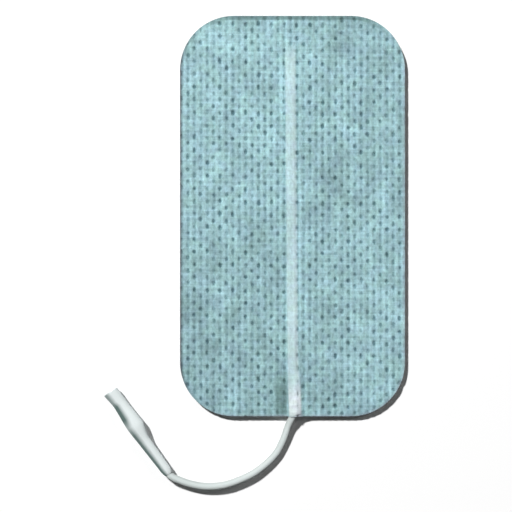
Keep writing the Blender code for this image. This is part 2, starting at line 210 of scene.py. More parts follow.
def add_piece(name: str, data: bpy.types.ID, material: bpy.types.Material) -> bpy.types.Object:
    """Put a mesh or a curve into the scene as one piece that rides on the pad's body.

    Args:
        name: Name of the piece.
        data: Its mesh or curve, in the row frame.
        material: Its finish.

    Returns:
        The object.
    """
    piece = bpy.data.objects.new(name, data)
    data.materials.append(material)
    bpy.context.scene.collection.objects.link(piece)
    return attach(piece, "root")


def smooth_curve(points: np.ndarray, last_direction: np.ndarray, per_span: int = 40) -> np.ndarray:
    """A centripetal Catmull-Rom curve through points, which leaves the last one in a direction.

    Each point comes from three levels of blends between its four neighbours, by the square roots
    of their distances.

    Args:
        points: Places that the curve passes through.
        last_direction: Unit vector of the curve's direction at its end.
        per_span: Points worked out between two given ones.

    Returns:
        The dense points of the curve.
    """
    reach = np.linalg.norm(points[-1] - points[-2])
    controls = np.vstack([2 * points[0] - points[1], points, points[-1] + last_direction * reach])
    p0, p1, p2, p3 = (controls[k : len(controls) - 3 + k][:, None, :] for k in range(4))
    t1 = np.sqrt(np.linalg.norm(p1 - p0, axis=-1, keepdims=True))
    t2 = t1 + np.sqrt(np.linalg.norm(p2 - p1, axis=-1, keepdims=True))
    t3 = t2 + np.sqrt(np.linalg.norm(p3 - p2, axis=-1, keepdims=True))
    t = t1 + (t2 - t1) * (np.arange(per_span) / per_span)[None, :, None]
    a1 = p0 + (p1 - p0) * t / t1
    a2 = p1 + (p2 - p1) * (t - t1) / (t2 - t1)
    a3 = p2 + (p3 - p2) * (t - t2) / (t3 - t2)
    b1 = a1 + (a2 - a1) * t / t2
    b2 = a2 + (a3 - a2) * (t - t1) / (t3 - t1)
    dense = b1 + (b2 - b1) * (t - t1) / (t2 - t1)
    return np.vstack([dense.reshape(-1, 3), points[-1]])


def evenly_spaced(dense: np.ndarray, spacing: float) -> np.ndarray:
    """Points about a fixed distance apart along a dense curve, with both of its ends.

    Args:
        dense: Close points of the curve.
        spacing: Distance wanted between two points.

    Returns:
        The points, one row each.
    """
    lengths = np.concatenate([[0.0], np.cumsum(np.linalg.norm(np.diff(dense, axis=0), axis=1))])
    wanted = np.linspace(0.0, lengths[-1], max(2, round(lengths[-1] / spacing) + 1))
    return np.stack([np.interp(wanted, lengths, dense[:, axis]) for axis in range(3)], axis=1)


def through_stations(
    at: np.ndarray, places: np.ndarray, values: np.ndarray, sharpness: float
) -> np.ndarray:
    """Values between stations, as a blend of straight lines and of a smooth curve.

    The smooth curve is a cubic from each station to the next whose slope at a station is that of
    the line between its neighbours, and nothing where the values turn back.

    Args:
        at: Places to work out.
        places: Places of the stations, rising.
        values: Values at the stations.
        sharpness: Share of the straight lines in the blend.

    Returns:
        The value at each place.
    """
    rises = np.diff(values) / np.diff(places)
    slopes = np.zeros(len(values))
    turning = rises[:-1] * rises[1:] <= 0
    slopes[1:-1] = np.where(turning, 0.0, (values[2:] - values[:-2]) / (places[2:] - places[:-2]))
    span = np.clip(np.searchsorted(places, at, side="right") - 1, 0, len(places) - 2)
    width = places[span + 1] - places[span]
    t = (at - places[span]) / width
    start = values[span] * (1 + 2 * t) + slopes[span] * width * t
    end = values[span + 1] * (3 - 2 * t) - slopes[span + 1] * width * (1 - t)
    smooth = start * (1 - t) ** 2 + end * t**2
    return smooth + sharpness * (np.interp(at, places, values) - smooth)


class NodeBoard:
    """A material's node tree, with short ways to add and join its nodes."""

    def __init__(self, name: str) -> None:
        """Start a material that has only its output and one Principled shader.

        Args:
            name: Name of the material.
        """
        self.material = bpy.data.materials.new(name)
        self.material.use_nodes = True
        self.tree = self.material.node_tree
        self.shader = self.tree.nodes["Principled BSDF"]

    def node(self, kind: str, **settings: object) -> bpy.types.Node:
        """Add a node.

        Args:
            kind: Blender's name for the kind of node.
            **settings: The node's own options.

        Returns:
            The node.
        """
        made = self.tree.nodes.new(kind)
        for key, value in settings.items():
            setattr(made, key, value)
        return made

    def join(self, source: bpy.types.NodeSocket, target: bpy.types.NodeSocket) -> None:
        """Join an output to an input."""
        self.tree.links.new(source, target)

    def feed(self, value: object, target: bpy.types.NodeSocket) -> None:
        """Join an output to an input, or give the input a number, a vector or a colour.

        Args:
            value: The output, or what the input is set to.
            target: The input.
        """
        if isinstance(value, bpy.types.NodeSocket):
            self.join(value, target)
        elif target.type == "RGBA":
            target.default_value = (*value, 1.0)
        else:
            target.default_value = value

    def place(self) -> bpy.types.NodeSocket:
        """Object coordinates."""
        return self.node("ShaderNodeTexCoord").outputs["Object"]

    def stretched(
        self, source: bpy.types.NodeSocket, scale: Colour, turn: float = 0.0
    ) -> bpy.types.NodeSocket:
        """Coordinates turned about Z and then stretched.

        Args:
            source: The coordinates.
            scale: How many times longer they get along each axis.
            turn: Angle of the turn in radians.

        Returns:
            The new coordinates.
        """
        turned = self.node("ShaderNodeMapping", vector_type="POINT")
        turned.inputs["Rotation"].default_value = (0.0, 0.0, turn)
        self.join(source, turned.inputs["Vector"])
        scaled = self.node("ShaderNodeMapping", vector_type="POINT")
        scaled.inputs["Scale"].default_value = scale
        self.join(turned.outputs["Vector"], scaled.inputs["Vector"])
        return scaled.outputs["Vector"]

    def noise(
        self, source: bpy.types.NodeSocket, scale: float, look: NoiseLook, distortion: float = 0.0
    ) -> bpy.types.NodeSocket:
        """A noise value from 0 to 1, mostly near a half.

        Args:
            source: The coordinates.
            scale: Number of its waves in a unit of the coordinates.
            look: What the noise is for.
            distortion: How far its waves are swirled.

        Returns:
            The value.
        """
        made = self.node("ShaderNodeTexNoise")
        made.inputs["Scale"].default_value = scale
        made.inputs["Detail"].default_value = look.value
        made.inputs["Distortion"].default_value = distortion
        self.join(source, made.inputs["Vector"])
        return made.outputs["Fac"]

    def maths(
        self, operation: str, first: bpy.types.NodeSocket, second: object
    ) -> bpy.types.NodeSocket:
        """A sum, a product or the like of two values.

        Args:
            operation: Blender's name for it.
            first: The first value.
            second: The second value, as an output or a number.

        Returns:
            The result.
        """
        made = self.node("ShaderNodeMath", operation=operation)
        self.join(first, made.inputs[0])
        self.feed(second, made.inputs[1])
        return made.outputs[0]

    def ranged(
        self, value: bpy.types.NodeSocket, low: float, high: float, to_low: float, to_high: float
    ) -> bpy.types.NodeSocket:
        """A value carried from one range to another and held inside it.

        Args:
            value: The value.
            low: Start of the range that it comes from.
            high: End of that range.
            to_low: What it becomes at the start.
            to_high: What it becomes at the end.

        Returns:
            The new value.
        """
        made = self.node("ShaderNodeMapRange", clamp=True)
        self.join(value, made.inputs["Value"])
        for key, number in (
            ("From Min", low),
            ("From Max", high),
            ("To Min", to_low),
            ("To Max", to_high),
        ):
            made.inputs[key].default_value = number
        return made.outputs["Result"]

    def attribute(self, name: str) -> bpy.types.NodeSocket:
        """The number that each point of the mesh carries under a name."""
        return self.node("ShaderNodeAttribute", attribute_name=name).outputs["Fac"]

    def mix(
        self, share: object, first: object, second: object, blend: str = "MIX"
    ) -> bpy.types.NodeSocket:
        """A blend of two colours.

        Args:
            share: How far it goes, as an output or a number.
            first: The first colour, or an output that gives it.
            second: The second one.
            blend: Blender's name for the kind of blend.

        Returns:
            The blended colour.
        """
        made = self.node("ShaderNodeMix", data_type="RGBA", blend_type=blend, clamp_result=True)
        self.feed(share, made.inputs["Factor"])
        self.feed(first, made.inputs[6])
        self.feed(second, made.inputs[7])
        return made.outputs[2]

    def brightened(self, colour: object, amount: bpy.types.NodeSocket) -> bpy.types.NodeSocket:
        """A colour multiplied by a number that changes over the surface.

        Args:
            colour: The colour, or an output that gives it.
            amount: The number.

        Returns:
            The brighter or darker colour.
        """
        made = self.node("ShaderNodeVectorMath", operation="SCALE")
        self.feed(colour, made.inputs[0])
        self.join(amount, made.inputs["Scale"])
        return made.outputs["Vector"]

    def bump(
        self,
        height: bpy.types.NodeSocket,
        depth: float,
        under: bpy.types.NodeSocket | None = None,
    ) -> bpy.types.NodeSocket:
        """A normal from a height, where a height of 1 is the depth in metres.

        Args:
            height: The height.
            depth: What a height of 1 stands for.
            under: The normal that the height is added to, where it isn't the surface's.

        Returns:
            The normal.
        """
        made = self.node("ShaderNodeBump")
        made.inputs["Distance"].default_value = depth
        self.join(height, made.inputs["Height"])
        if under is not None:
            self.join(under, made.inputs["Normal"])
        return made.outputs["Normal"]

    def turned_up(self, share: object) -> bpy.types.NodeSocket:
        """The surface's normal turned towards straight up, for what light gets through.

        Light that spreads inside a soft or loose material leaves its sides hardly darker than its
        top.

        Args:
            share: How far it is turned, from 0 to 1, as an output or a number.

        Returns:
            The normal.
        """
        surface = self.node("ShaderNodeNewGeometry")
        turned = self.node("ShaderNodeMix", data_type="VECTOR")
        self.feed(share, turned.inputs["Factor"])
        self.join(surface.outputs["Normal"], turned.inputs[4])
        turned.inputs[5].default_value = (0.0, 0.0, 1.0)
        unit = self.node("ShaderNodeVectorMath", operation="NORMALIZE")
        self.join(turned.outputs[1], unit.inputs[0])
        return unit.outputs["Vector"]

    def group(self, tree: bpy.types.NodeTree, **values: float) -> bpy.types.Node:
        """Place a shader node group.

        Args:
            tree: The group.
            **values: Its inputs' own values; an underscore in a name stands for a space.

        Returns:
            The group's node.
        """
        made = self.node("ShaderNodeGroup", node_tree=tree)
        for key, value in values.items():
            made.inputs[key.replace("_", " ")].default_value = value
        return made


def moulded_grain_group() -> bpy.types.NodeTree:
    """Grain that soft moulded and coated surfaces share.

    A fine noise gives the height, and a coarse one changes the shade and the gloss slightly from
    place to place.

    Returns:
        The node group, with Shade, Gloss and Height outputs.
    """
    tree = bpy.data.node_groups.new("moulded grain", "ShaderNodeTree")
    sockets = tree.interface
    sockets.new_socket("Vector", in_out="INPUT", socket_type="NodeSocketVector")
    for name, value in (
        ("Grain Scale", 4000.0),
        ("Cloud Scale", 300.0),
        ("Shade Change", 0.05),
        ("Roughness", 0.45),
        ("Gloss Change", 0.1),
    ):
        socket = sockets.new_socket(name, in_out="INPUT", socket_type="NodeSocketFloat")
        socket.default_value = value
    for name in ("Shade", "Gloss", "Height"):
        sockets.new_socket(name, in_out="OUTPUT", socket_type="NodeSocketFloat")
    start = tree.nodes.new("NodeGroupInput")
    end = tree.nodes.new("NodeGroupOutput")
    values = {}
    for name, scale in (("fine", "Grain Scale"), ("coarse", "Cloud Scale")):
        noise = tree.nodes.new("ShaderNodeTexNoise")
        noise.inputs["Detail"].default_value = NoiseLook.GRAIN.value
        tree.links.new(start.outputs["Vector"], noise.inputs["Vector"])
        tree.links.new(start.outputs[scale], noise.inputs["Scale"])
        values[name] = noise.outputs["Fac"]
    for output, amount, base in (
        ("Shade", "Shade Change", None),
        ("Gloss", "Gloss Change", "Roughness"),
    ):
        centred = tree.nodes.new("ShaderNodeMath")
        centred.operation = "SUBTRACT"
        centred.inputs[1].default_value = 0.5
        tree.links.new(values["coarse"], centred.inputs[0])
        scaled = tree.nodes.new("ShaderNodeMath")
        scaled.operation = "MULTIPLY_ADD"
        scaled.inputs[2].default_value = 1.0
        tree.links.new(centred.outputs[0], scaled.inputs[0])
        tree.links.new(start.outputs[amount], scaled.inputs[1])
        if base:
            tree.links.new(start.outputs[base], scaled.inputs[2])
        tree.links.new(scaled.outputs[0], end.inputs[output])
    tree.links.new(values["fine"], end.inputs["Height"])
    return tree


@dataclass(frozen=True)
class MouldedFinish:
    """A soft or coated surface: one colour with a slight grain and uneven gloss."""

    name: str
    colour: Colour
    roughness: float
    grain_depth: float = 0.000006
    grain_scale: float = 4000.0
    cloud_scale: float = 300.0
    shade_change: float = 0.06
    gloss_change: float = 0.15
    metallic: float = 0.0
    transmission: float = 0.0
    index_of_refraction: float = 1.5
    specular: float = 0.5
    slant_shade: float = 1.0
    softness: float = 0.0
    painted_shade: Colour | None = None

    def material(self, grain: bpy.types.NodeTree) -> bpy.types.Material:
        """Build the material, whose painted shade colour shows where the mesh's attribute for it
        says.

        Args:
            grain: The shared grain group.

        Returns:
            The material.
        """
        board = NodeBoard(self.name)
        texture = board.group(
            grain,
            Grain_Scale=self.grain_scale,
            Cloud_Scale=self.cloud_scale,
            Shade_Change=self.shade_change,
            Roughness=self.roughness,
            Gloss_Change=self.gloss_change,
        )
        board.join(board.place(), texture.inputs["Vector"])
        colour = self.colour
        # Painted shade: a darker colour where the mesh's attribute for it says.
        if self.painted_shade is not None:
            colour = board.mix(board.attribute("painted_shade"), self.colour, self.painted_shade)
        shade = texture.outputs["Shade"]
        # Painted shade: the colour is darker where the surface is seen at a slant.
        if self.slant_shade < 1.0:
            slant = board.node("ShaderNodeLayerWeight").outputs["Facing"]
            darker = board.ranged(slant, 0.02, 0.30, 1.0, self.slant_shade)
            shade = board.maths("MULTIPLY", shade, darker)
        shaded = board.brightened(colour, shade)
        shader = board.shader
        board.join(shaded, shader.inputs["Base Color"])
        board.join(texture.outputs["Gloss"], shader.inputs["Roughness"])
        under = board.turned_up(self.softness) if self.softness else None
        normal = board.bump(texture.outputs["Height"], self.grain_depth, under)
        board.join(normal, shader.inputs["Normal"])
        shader.inputs["Metallic"].default_value = self.metallic
        shader.inputs["Transmission Weight"].default_value = self.transmission
        shader.inputs["IOR"].default_value = self.index_of_refraction
        shader.inputs["Specular IOR Level"].default_value = self.specular
        return board.material


CARBON_FILM = MouldedFinish(
    "carbon_film", (0.030, 0.032, 0.036), 0.55, cloud_scale=500.0, shade_change=0.4
)
TINNED_STRANDS = MouldedFinish(
    "tinned_strands", (0.72, 0.71, 0.69), 0.34, grain_depth=0.000002, metallic=1.0
)
PLATED_SOCKET = MouldedFinish(
    "plated_socket", (0.70, 0.68, 0.64), 0.30, grain_depth=0.000002, metallic=1.0
)
CLEAR_HYDROGEL = MouldedFinish(
    "clear_hydrogel",
    (0.78, 0.86, 0.84),
    0.22,
    grain_depth=0.00001,
    grain_scale=1500.0,
    transmission=0.7,
    index_of_refraction=1.38,
)
WHITE_MOULDING = MouldedFinish(
    "white_moulding",
    (0.75, 0.81, 0.81),
    0.45,
    grain_depth=0.000008,
    specular=0.3,
    softness=0.35,
    # Darker colour painted on the flanks as shade.
    painted_shade=(0.075, 0.125, 0.115),
)
WHITE_INSULATION = MouldedFinish(
    "white_insulation",
    (0.62, 0.68, 0.67),
    0.50,
    grain_depth=0.000004,
    specular=0.25,
    slant_shade=0.72,
    softness=0.45,
)


@dataclass(frozen=True)
class ClothFinish:
    """Pale blue-green nonwoven cloth: lighter ribs, darker pits and a worn ridge, partly painted
    light.
    """

    rib: Colour = (0.364, 0.583, 0.634)
    groove: Colour = (0.246, 0.428, 0.474)
    pit: Colour = (0.083, 0.174, 0.203)
    ridge: Colour = (0.540, 0.750, 0.800)
    # Near white: the cloth worn over the lead, and painted light on the ridge's right slope.
    wear_and_painted_light: Colour = (0.800, 0.890, 0.940)
    # Painted shade of a crease beside the ridge, also used for the darker band along the far edge.
    crease_shade: Colour = (0.110, 0.200, 0.190)
    cut_edge: Colour = (0.105, 0.130, 0.150)
    pale_edge: Colour = (0.420, 0.520, 0.600)
    greener: Colour = (0.985, 1.000, 0.935)
    bluer: Colour = (0.990, 0.970, 1.000)
    roughness: float = 0.86
    fibre_depth: float = 0.00003

    def material(self) -> bpy.types.Material:
        """Build the material from the attributes that the cloth's mesh carries.

        Returns:
            The material.
        """
        board = NodeBoard("pale_blue_green_cloth")
        place = board.place()

        # Fibres lie mostly along the cloth, in two slanting sets.
        sets = []
        for turn in (0.35, -0.42):
            slanting = board.stretched(place, (5200.0, 900.0, 900.0), turn)
            sets.append(board.noise(slanting, 1.0, NoiseLook.FIBRES, 0.6))
        fibres = board.maths("MAXIMUM", *sets)
        colour = board.brightened(self.dyed(board, place), self.shade(board, place, fibres))
        shader = board.shader
        board.join(colour, shader.inputs["Base Color"])
        shader.inputs["Roughness"].default_value = self.roughness
        shader.inputs["Specular IOR Level"].default_value = 0.25
        shader.inputs["Sheen Weight"].default_value = 0.15
        # Stretched over the lead, the fibres stand apart and pass light on sideways.
        normal = board.bump(fibres, self.fibre_depth, board.turned_up(board.attribute("loose")))
        board.join(normal, shader.inputs["Normal"])
        return board.material

    def shade(
        self, board: NodeBoard, place: bpy.types.NodeSocket, fibres: bpy.types.NodeSocket
    ) -> bpy.types.NodeSocket:
        """How light the cloth is from place to place.

        The product of eight changes: clouds of uneven density, differences between ribs, specks,
        threads across the ribs, fibres, the rows of pits, the broad patches, and a painted
        fall-off of light, a slow darkening from the far end to the lead's.

        Args:
            board: The material's nodes.
            place: Object coordinates.
            fibres: The fibres' noise.

        Returns:
            A number near 1.
        """
        clouds = board.noise(place, 160.0, NoiseLook.FIBRES, 0.3)
        streaks, specks, threads = (
            board.noise(board.stretched(place, scale), 1.0, look)
            for scale, look in (
                ((900.0, 60.0, 60.0), NoiseLook.CLOUDS),
                ((1900.0, 1100.0, 900.0), NoiseLook.GRAIN),
                ((260.0, 2600.0, 900.0), NoiseLook.CLOUDS),
            )
        )
        split = board.node("ShaderNodeSeparateXYZ")
        board.join(place, split.inputs["Vector"])
        # Painted light fall-off: lighter towards the far end, darker towards the lead's.
        shade = board.ranged(split.outputs["Y"], -0.045, 0.045, 0.87, 1.08)
        for value, low, high, darkest, lightest in (
            (clouds, 0.3, 0.7, 0.79, 1.17),
            (streaks, 0.3, 0.7, 0.89, 1.11),
            (specks, 0.3, 0.7, 0.78, 1.22),
            (threads, 0.35, 0.65, 0.90, 1.08),
            (fibres, 0.4, 0.8, 0.93, 1.09),
            (board.attribute("between"), 0.0, 1.0, 0.97, 1.027),
            (board.attribute("broad"), 0.0, 1.0, 1 - BROAD_SPAN / 2, 1 + BROAD_SPAN / 2),
        ):
            change = board.ranged(value, low, high, darkest, lightest)
            shade = board.maths("MULTIPLY", shade, change)
        # The stretched ridge is more even than the rest.
        change = board.maths("SUBTRACT", shade, 1.0)
        kept = board.ranged(board.attribute("ridge"), 0.0, 1.0, 1.0, 0.5)
        return board.maths("ADD", board.maths("MULTIPLY", change, kept), 1.0)

    def dyed(self, board: NodeBoard, place: bpy.types.NodeSocket) -> bpy.types.NodeSocket:
        """The cloth's colour from the mesh's attributes, with ragged pits and an uneven dye.

        Args:
            board: The material's nodes.
            place: Object coordinates.

        Returns:
            The colour.
        """
        ragged = board.noise(board.stretched(place, (3600.0, 2600.0, 900.0)), 1.0, NoiseLook.GRAIN)
        unevenness = board.ranged(ragged, 0.2, 0.8, -0.28, 0.28)
        depth = board.maths("ADD", board.attribute("pit"), unevenness)
        dark = board.ranged(depth, 0.1, 0.9, 0.0, 1.0)
        pits = board.maths("MULTIPLY", dark, board.attribute("pitted"))
        # The grooves are filled with fibres in some places and clear in others.
        patches = board.noise(board.stretched(place, (420.0, 300.0, 300.0)), 1.0, NoiseLook.CLOUDS)
        clear = board.ranged(patches, 0.35, 0.65, 0.55, 1.15)
        grooves = board.maths("MULTIPLY", board.attribute("groove"), clear)
        colour = board.mix(grooves, self.rib, self.groove)
        colour = board.mix(pits, colour, self.pit)
        for name, paint in (
            ("ridge", self.ridge),
            ("wear_and_painted_light", self.wear_and_painted_light),
            ("crease_shade", self.crease_shade),
            ("pale", self.pale_edge),
            ("cut", self.cut_edge),
        ):
            colour = board.mix(board.attribute(name), colour, paint)
        dye = board.ranged(board.noise(place, 420.0, NoiseLook.GRAIN, 0.4), 0.35, 0.65, 0.0, 1.0)
        tint = board.mix(dye, self.greener, self.bluer)
        return board.mix(1.0, colour, tint, "MULTIPLY")


@dataclass
class LeadLine:
    """The line of the lead: the ridge's straight line under the cloth, then the free route."""

    exit_x: float = 0.0
    exit_y: float = -0.0445
    lean: float = 0.0085
    diameter: float = 0.0016
    lift: float = 0.0007
    held_length: float = 0.0075
    held_shares: tuple[float, ...] = (1.0, 0.5, 0.11)
    held_height: float = 0.00195
    connector_height: float = 0.00197
    heading: float = math.radians(125.3)

    @property
    def free_height(self) -> float:
        """Height of the free lead's middle between the pad and the connector, which hold it."""
        return self.diameter / 2 + self.lift

    @property
    def inner_y(self) -> float:
        """Where the insulation ends under the cloth."""
        return self.exit_y + self.held_length

    @property
    def out_of_mouth(self) -> np.ndarray:
        """Unit vector out of the connector's mouth."""
        return np.array([math.cos(self.heading), math.sin(self.heading), 0.0])

    def ridge_x(self, y: np.ndarray) -> np.ndarray:
        """Where the line under the cloth crosses a given place along the pad."""
        return self.exit_x - self.lean * (y - self.exit_y)

    def points(self) -> np.ndarray:
        """The lead's own points, from its end under the cloth to the connector's tail.

        The height is the free lead's, and the pad's and the connector's extra heights by shares.

        Returns:
            The points, one row each.
        """
        held_y = self.exit_y + self.held_length * np.array(self.held_shares)
        held_z = np.full_like(held_y, self.held_height)
        held = np.stack([self.ridge_x(held_y), held_y, held_z], axis=1)
        route = np.array(LEAD_ROUTE)
        height = (
            self.free_height
            + (self.held_height - self.free_height) * route[:, 2]
            + (self.connector_height - self.free_height) * route[:, 3]
        )
        free = np.stack([self.exit_x + route[:, 0], self.exit_y + route[:, 1], height], axis=1)
        return np.vstack([held, free])

    def tail(self) -> np.ndarray:
        """Middle of the connector's tail face."""
        return self.points()[-1] + self.out_of_mouth * TOUCH_GAP


@dataclass
class CoverCloth:
    """The embossed cloth: one die-cut sheet with ribs, staggered pits and the lead's ridge.

    The plateau is the smooth top of the ridge, and the band is its painted stretch. Their edges
    and those of the painted crease shade are distances from the lead's line.
    """

    line: LeadLine
    width: float = 0.050
    length: float = 0.089
    corner_radius: float = 0.012
    bottom: float = 0.00115
    thickness: float = 0.00045
    rib_pitch: float = 0.001426
    rib_depth: float = 0.00007
    groove_shade_shift: float = 0.00009
    rib_shift: float = -0.00042
    pit_pitch: float = 0.002822
    pit_shift: float = -0.00128
    pit_row_lean: float = -0.018
    pit_depth: float = 0.00024
    pit_half_width: float = 0.00040
    pit_half_length: float = 0.00062
    pit_stray_across: float = 0.00016
    pit_stray_along: float = 0.0004
    strand_diameter: float = 0.0008
    strand_end_margin: float = 0.0125
    ridge_spread: float = 0.0008
    slack_over_lead: float = 0.0012
    slack_over_strands: float = 0.0005
    slack_at_exit: float = 0.85
    slack_reach: float = 0.0015
    ridge_flat_share: float = 0.375
    ridge_clearance: float = 0.00008
    step_length: float = 0.003
    fade_length: float = 0.0055
    stretched_end: float = 0.0345
    stretched_fade: float = 0.0045
    plateau_left: float = 0.0010
    plateau_right: float = 0.0011
    plateau_fade: float = 0.0003
    band_left: float = 0.00095
    band_right: float = 0.0013
    crease_inner: float = 0.0011
    crease_outer: float = 0.0046
    wave_height: float = 0.00002
    rim_width: float = 0.0006
    rim_press: float = 0.00004
    exit_press: float = 0.00030
    exit_reach: float = 0.0007
    columns_per_rib: int = 6
    rows_per_pit: int = 12
    corner_rows: int = 60

    @property
    def top(self) -> float:
        """Height of the cloth's crests on the flat."""
        return self.bottom + self.thickness

    def covered_diameter(self, y: np.ndarray) -> np.ndarray:
        """Thickness of what the cloth goes over: the insulated lead, the strands, then nothing.

        Args:
            y: Places along the pad.

        Returns:
            The thickness at each place.
        """
        past_lead = eased((y - self.line.inner_y) / self.step_length)
        strand_end = self.length / 2 - self.strand_end_margin
        past_strands = eased((y - strand_end) / self.fade_length)
        over = self.line.diameter + (self.strand_diameter - self.line.diameter) * past_lead
        return over * (1 - past_strands)

    def over_something(self, y: np.ndarray) -> np.ndarray:
        """1 where the cloth goes over the lead or its strands, and 0 past their end."""
        return np.clip(self.covered_diameter(y) / self.strand_diameter, 0.0, 1.0)

    def stretched_share(self, y: np.ndarray) -> np.ndarray:
        """1 where the cloth is stretched smooth, up to a little past the strands' end, then 0."""
        return 1 - eased((y - self.stretched_end) / self.stretched_fade)

    def ridge_share(self, x: np.ndarray, y: np.ndarray) -> np.ndarray:
        """Shape of the ridge across: 1 on its flat top, then a wave of a cosine down to 0.

        The cloth is slack on the right, most of all beside the insulated lead and less at the cut
        edge, so its slope is wider there.

        Args:
            x: Places across the pad.
            y: Places along the pad.

        Returns:
            The share of the ridge's height at each place.
        """
        radius = self.covered_diameter(y) / 2
        flat = self.ridge_flat_share * radius
        side = x - self.line.ridge_x(y)
        past_lead = eased((y - self.line.inner_y) / self.step_length)
        slack = self.slack_over_lead + (self.slack_over_strands - self.slack_over_lead) * past_lead
        from_exit = eased((y + self.length / 2) / self.slack_reach)
        slack = slack * (self.slack_at_exit + (1 - self.slack_at_exit) * from_exit)
        spread = self.ridge_spread + slack * (side > 0)
        offset = np.clip((np.abs(side) - flat) / (spread + radius - flat), 0.0, 1.0)
        return 0.5 + 0.5 * np.cos(math.pi * offset)

    def rise(self, x: np.ndarray, y: np.ndarray) -> np.ndarray:
        """How far the cloth is lifted off the film."""
        lift = self.covered_diameter(y) + self.ridge_clearance * self.over_something(y)
        return lift * self.ridge_share(x, y)

    def rim_distance(self, x: np.ndarray, y: np.ndarray) -> np.ndarray:
        """Distance inwards from the die's outline, which is a rectangle with round corners.

        Args:
            x: Places across the pad.
            y: Places along the pad.

        Returns:
            The distance at each place.
        """
        across = np.abs(x) - (self.width / 2 - self.corner_radius)
        along = np.abs(y) - (self.length / 2 - self.corner_radius)
        outside = np.hypot(np.maximum(across, 0.0), np.maximum(along, 0.0))
        inside = np.minimum(np.maximum(across, along), 0.0)
        return np.maximum(self.corner_radius - outside - inside, 0.0)

    def facing(self, x: np.ndarray, y: np.ndarray) -> tuple[np.ndarray, np.ndarray]:
        """Which way the nearest stretch of the outline faces.

        Args:
            x: Places across the pad.
            y: Places along the pad.

        Returns:
            The two parts of a unit vector at each place, which are 0 in the pad's middle.
        """
        across = np.sign(x) * np.maximum(np.abs(x) - (self.width / 2 - self.corner_radius), 0.0)
        along = np.sign(y) * np.maximum(np.abs(y) - (self.length / 2 - self.corner_radius), 0.0)
        reach = np.maximum(np.hypot(across, along), 1e-9)
        return across / reach, along / reach

    def plateau(self, x: np.ndarray, y: np.ndarray) -> np.ndarray:
        """1 on the ridge's smooth stretched top, and 0 beside it and past its end.

        Args:
            x: Places across the pad.
            y: Places along the pad.

        Returns:
            The share at each place.
        """
        side = x - self.line.ridge_x(y)
        left = eased((side + self.plateau_left) / self.plateau_fade + 0.5)
        right = eased((self.plateau_right - side) / self.plateau_fade + 0.5)
        return left * right * self.stretched_share(y)

    def pits(self, x: np.ndarray, y: np.ndarray) -> np.ndarray:
        """How deep the pits press, from 0 to about 1.

        The pits stand in every groove, staggered from groove to groove, and every other groove's
        are shallower. Each is an oval dome, the bell of the fourth power of the distance, with its
        own depth, size and slight offset.

        Args:
            x: Places across the pad.
            y: Places along the pad.

        Returns:
            The depth share at each place.
        """
        across = (x - self.rib_shift) / self.rib_pitch
        groove = np.rint(across).astype(int)
        stagger = 0.5 * (groove % 2)
        along = (y - self.pit_row_lean * x - self.pit_shift) / self.pit_pitch - stagger
        pit = np.rint(along).astype(int)
        draws = np.random.default_rng(41).random((5, 97, 97))
        depth, wide, long, off_x, off_y = (table[groove + 48, pit + 48] for table in draws)
        from_x = (across - groove) * self.rib_pitch - (off_x - 0.5) * self.pit_stray_across
        from_y = (along - pit) * self.pit_pitch - (off_y - 0.5) * self.pit_stray_along
        spread_x = self.pit_half_width * (0.85 + 0.3 * wide)
        spread_y = self.pit_half_length * (0.75 + 0.45 * long)
        distance = (from_x / spread_x) ** 2 + (from_y / spread_y) ** 2
        press = np.where(groove % 2 == 1, 1.0, 0.83) * (0.46 + 0.58 * depth)
        return np.exp(-(distance**2)) * press

    def between_rows(self, x: np.ndarray, y: np.ndarray) -> np.ndarray:
        """1 midway between two rows of pits, and 0 on them; every groove skips each other row."""
        along = (y - self.pit_row_lean * x - self.pit_shift) / self.pit_pitch
        return 0.5 - 0.5 * np.cos(4 * math.pi * along)

    def broad_patches(self, x: np.ndarray, y: np.ndarray) -> np.ndarray:
        """How much paler or darker the broad patches make the cloth: a sum of bells.

        Args:
            x: Places across the pad.
            y: Places along the pad.

        Returns:
            The change at each place.
        """
        change = np.zeros_like(x)
        for across, along, wide, long, amount in BROAD_PATCHES:
            change += amount * np.exp(-(((x - across) / wide) ** 2) - ((y - along) / long) ** 2)
        return change

    def columns(self) -> np.ndarray:
        """Lines along the pad at the straight part: on the ribs' own pitch, close at the rims.

        Returns:
            Their places across the pad, rising.
        """
        reach = self.width / 2 - self.rim_width
        inner = on_pitch(reach, self.rib_shift, self.rib_pitch / self.columns_per_rib)
        rim = self.width / 2 - self.rim_width * np.array([0.6, 0.3, 0.1, 0.0])
        return np.concatenate([-rim[::-1], inner, rim])

    def rows(self) -> np.ndarray:
        """Lines across the pad: on the pits' own pitch, and by equal angles round the corners.

        Returns:
            Their places along the pad, rising.
        """
        step = self.pit_pitch / self.rows_per_pit
        straight = self.length / 2 - self.corner_radius
        inner = on_pitch(straight - 0.4 * step, self.pit_shift, step)
        angles = np.linspace(0.0, math.pi / 2, self.corner_rows)
        corner = straight + self.corner_radius * np.sin(angles)
        return np.concatenate([-corner[::-1], inner, corner])

    def half_width(self, y: np.ndarray) -> np.ndarray:
        """Half the width of the die's outline.

        Args:
            y: Places along the pad.

        Returns:
            The half-width at each place.
        """
        past = np.maximum(np.abs(y) - (self.length / 2 - self.corner_radius), 0.0)
        inward = np.sqrt(np.maximum(self.corner_radius**2 - past**2, 0.0))
        return self.width / 2 - self.corner_radius + inward

